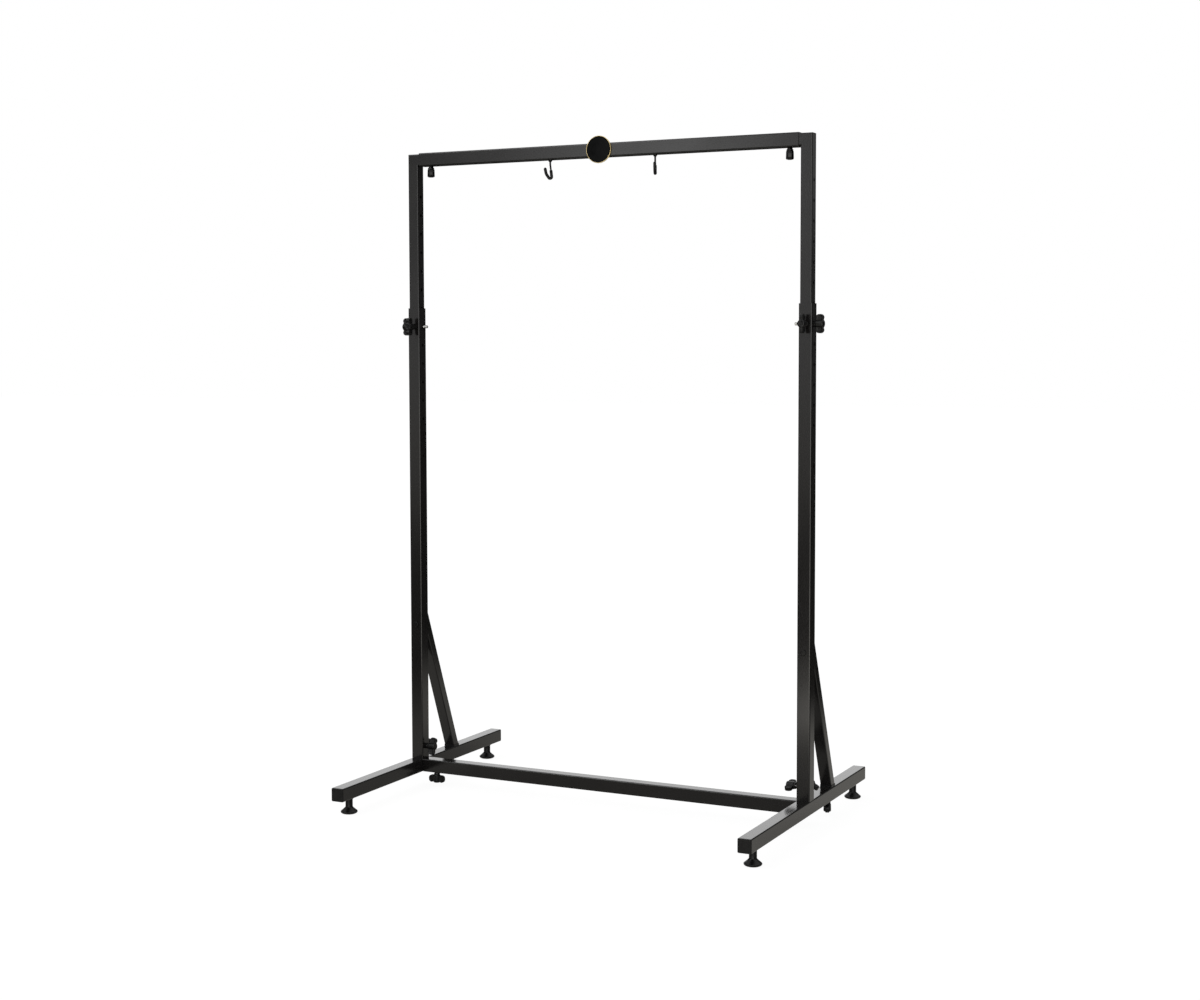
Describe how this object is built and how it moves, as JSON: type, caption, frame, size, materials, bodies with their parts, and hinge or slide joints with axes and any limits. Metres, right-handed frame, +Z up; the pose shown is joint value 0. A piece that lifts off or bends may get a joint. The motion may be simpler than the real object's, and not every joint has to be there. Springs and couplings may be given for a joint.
{
  "type": "gong stand",
  "caption": "Free-standing height-adjustable gong stand of square steel tube, with braced uprights, wing knobs, levelling feet and swivel hooks under its top beam.",
  "frame": {"origin": "on the floor, at the middle of the stand's bounding box", "axes": "+X to the right seen from the front, +Y to the back, +Z up"},
  "size_m": [1.205, 0.842, 1.747],
  "materials": {
    "powder_coat": "black satin powder coat",
    "black_plastic": "moulded black plastic",
    "zinc_steel": "bright zinc plate",
    "black_steel": "blackened steel",
    "black_rubber": "ribbed black rubber",
    "badge_black": "gloss black with a thin gold rim"
  },
  "bodies": {
    "base_frame": {"foot_bar_left": "powder_coat", "foot_bar_right": "powder_coat", "foot_end_caps": "black_plastic", "base_spigots": "powder_coat", "cross_bar": "powder_coat", "lower_upright_left": "powder_coat", "lower_upright_right": "powder_coat", "weld_nuts": "black_steel", "foot_inserts": "black_steel", "brace_left": "powder_coat", "brace_right": "powder_coat", "brace_plugs": "black_plastic", "brace_bolts": "black_steel"},
    "upper_frame": {"upper_tube_left": "powder_coat", "upper_tube_right": "powder_coat", "elbow_left": "powder_coat", "elbow_right": "powder_coat", "top_beam": "powder_coat", "beam_nuts": "black_steel", "badge": "badge_black"},
    "collar_pin_left": {"collar_pin_knob_left": "black_plastic", "collar_pin_stud_left": "zinc_steel"},
    "collar_pin_right": {"collar_pin_knob_right": "black_plastic", "collar_pin_stud_right": "zinc_steel"},
    "collar_clamp_left": {"collar_clamp_knob_left": "black_plastic", "collar_clamp_stud_left": "zinc_steel"},
    "collar_clamp_right": {"collar_clamp_knob_right": "black_plastic", "collar_clamp_stud_right": "zinc_steel"},
    "beam_clamp_left": {"beam_clamp_knob_left": "black_plastic", "beam_clamp_stud_left": "zinc_steel"},
    "beam_clamp_right": {"beam_clamp_knob_right": "black_plastic", "beam_clamp_stud_right": "zinc_steel"},
    "inner_clamp_left": {"inner_clamp_knob_left": "black_plastic", "inner_clamp_stud_left": "zinc_steel"},
    "inner_clamp_right": {"inner_clamp_knob_right": "black_plastic", "inner_clamp_stud_right": "zinc_steel"},
    "rear_clamp_left": {"rear_clamp_knob_left": "black_plastic", "rear_clamp_stud_left": "zinc_steel"},
    "rear_clamp_right": {"rear_clamp_knob_right": "black_plastic", "rear_clamp_stud_right": "zinc_steel"},
    "cross_clamp_left": {"cross_clamp_knob_left": "black_plastic", "cross_clamp_stud_left": "zinc_steel"},
    "cross_clamp_right": {"cross_clamp_knob_right": "black_plastic", "cross_clamp_stud_right": "zinc_steel"},
    "brace_clamp_left": {"brace_clamp_knob_left": "black_plastic", "brace_clamp_stud_left": "zinc_steel"},
    "brace_clamp_right": {"brace_clamp_knob_right": "black_plastic", "brace_clamp_stud_right": "zinc_steel"},
    "foot_front_left": {"pad_front_left": "black_plastic", "pad_stud_front_left": "zinc_steel"},
    "foot_rear_left": {"pad_rear_left": "black_plastic", "pad_stud_rear_left": "zinc_steel"},
    "foot_front_right": {"pad_front_right": "black_plastic", "pad_stud_front_right": "zinc_steel"},
    "foot_rear_right": {"pad_rear_right": "black_plastic", "pad_stud_rear_right": "zinc_steel"},
    "hook_left": {"hook_left": "black_steel", "hook_sleeve_left": "black_rubber"},
    "hook_right": {"hook_right": "black_steel", "hook_sleeve_right": "black_rubber"}
  },
  "joints": [
    {"name": "height_slide", "type": "slide", "parent": "base_frame", "child": "upper_frame", "axis": [0, 0, 1], "range_m": [-0.35, 0.25]},
    {"name": "collar_pin_left_pull", "type": "slide", "parent": "base_frame", "child": "collar_pin_left", "axis": [-1, 0, 0], "range_m": [0, 0.06]},
    {"name": "collar_pin_right_pull", "type": "slide", "parent": "base_frame", "child": "collar_pin_right", "axis": [1, 0, 0], "range_m": [0, 0.06]},
    {"name": "collar_clamp_left_turn", "type": "hinge", "parent": "base_frame", "child": "collar_clamp_left", "pos_m": [-0.56, -0.0255, 1.262], "axis": [0, -1, 0], "range_deg": [0, 450]},
    {"name": "collar_clamp_right_turn", "type": "hinge", "parent": "base_frame", "child": "collar_clamp_right", "pos_m": [0.56, -0.0255, 1.262], "axis": [0, -1, 0], "range_deg": [0, 450]},
    {"name": "beam_clamp_left_turn", "type": "hinge", "parent": "upper_frame", "child": "beam_clamp_left", "pos_m": [-0.512, -0.008, 1.6935], "axis": [0, 0, -1], "range_deg": [0, 450]},
    {"name": "beam_clamp_right_turn", "type": "hinge", "parent": "upper_frame", "child": "beam_clamp_right", "pos_m": [0.512, -0.008, 1.6935], "axis": [0, 0, -1], "range_deg": [0, 450]},
    {"name": "inner_clamp_left_turn", "type": "hinge", "parent": "base_frame", "child": "inner_clamp_left", "pos_m": [-0.5425, -0.008, 0.11], "axis": [1, 0, 0], "range_deg": [0, 450]},
    {"name": "inner_clamp_right_turn", "type": "hinge", "parent": "base_frame", "child": "inner_clamp_right", "pos_m": [0.5425, -0.008, 0.11], "axis": [-1, 0, 0], "range_deg": [0, 450]},
    {"name": "rear_clamp_left_turn", "type": "hinge", "parent": "base_frame", "child": "rear_clamp_left", "pos_m": [-0.56, 0.0095, 0.11], "axis": [0, 1, 0], "range_deg": [0, 450]},
    {"name": "rear_clamp_right_turn", "type": "hinge", "parent": "base_frame", "child": "rear_clamp_right", "pos_m": [0.56, 0.0095, 0.11], "axis": [0, 1, 0], "range_deg": [0, 450]},
    {"name": "cross_clamp_left_turn", "type": "hinge", "parent": "base_frame", "child": "cross_clamp_left", "pos_m": [-0.508, -0.008, 0.041], "axis": [0, 0, -1], "range_deg": [0, 450]},
    {"name": "cross_clamp_right_turn", "type": "hinge", "parent": "base_frame", "child": "cross_clamp_right", "pos_m": [0.508, -0.008, 0.041], "axis": [0, 0, -1], "range_deg": [0, 450]},
    {"name": "brace_clamp_left_turn", "type": "hinge", "parent": "base_frame", "child": "brace_clamp_left", "pos_m": [-0.56, 0.16, 0.041], "axis": [0, 0, -1], "range_deg": [0, 450]},
    {"name": "brace_clamp_right_turn", "type": "hinge", "parent": "base_frame", "child": "brace_clamp_right", "pos_m": [0.56, 0.16, 0.041], "axis": [0, 0, -1], "range_deg": [0, 450]},
    {"name": "foot_front_left_level", "type": "slide", "parent": "base_frame", "child": "foot_front_left", "axis": [0, 0, -1], "range_m": [0, 0.012]},
    {"name": "foot_rear_left_level", "type": "slide", "parent": "base_frame", "child": "foot_rear_left", "axis": [0, 0, -1], "range_m": [0, 0.012]},
    {"name": "foot_front_right_level", "type": "slide", "parent": "base_frame", "child": "foot_front_right", "axis": [0, 0, -1], "range_m": [0, 0.012]},
    {"name": "foot_rear_right_level", "type": "slide", "parent": "base_frame", "child": "foot_rear_right", "axis": [0, 0, -1], "range_m": [0, 0.012]},
    {"name": "hook_left_swivel", "type": "hinge", "parent": "upper_frame", "child": "hook_left", "pos_m": [-0.15, -0.008, 1.6935], "axis": [0, 0, 1], "continuous": true},
    {"name": "hook_right_swivel", "type": "hinge", "parent": "upper_frame", "child": "hook_right", "pos_m": [0.15, -0.008, 1.6935], "axis": [0, 0, 1], "continuous": true}
  ]
}
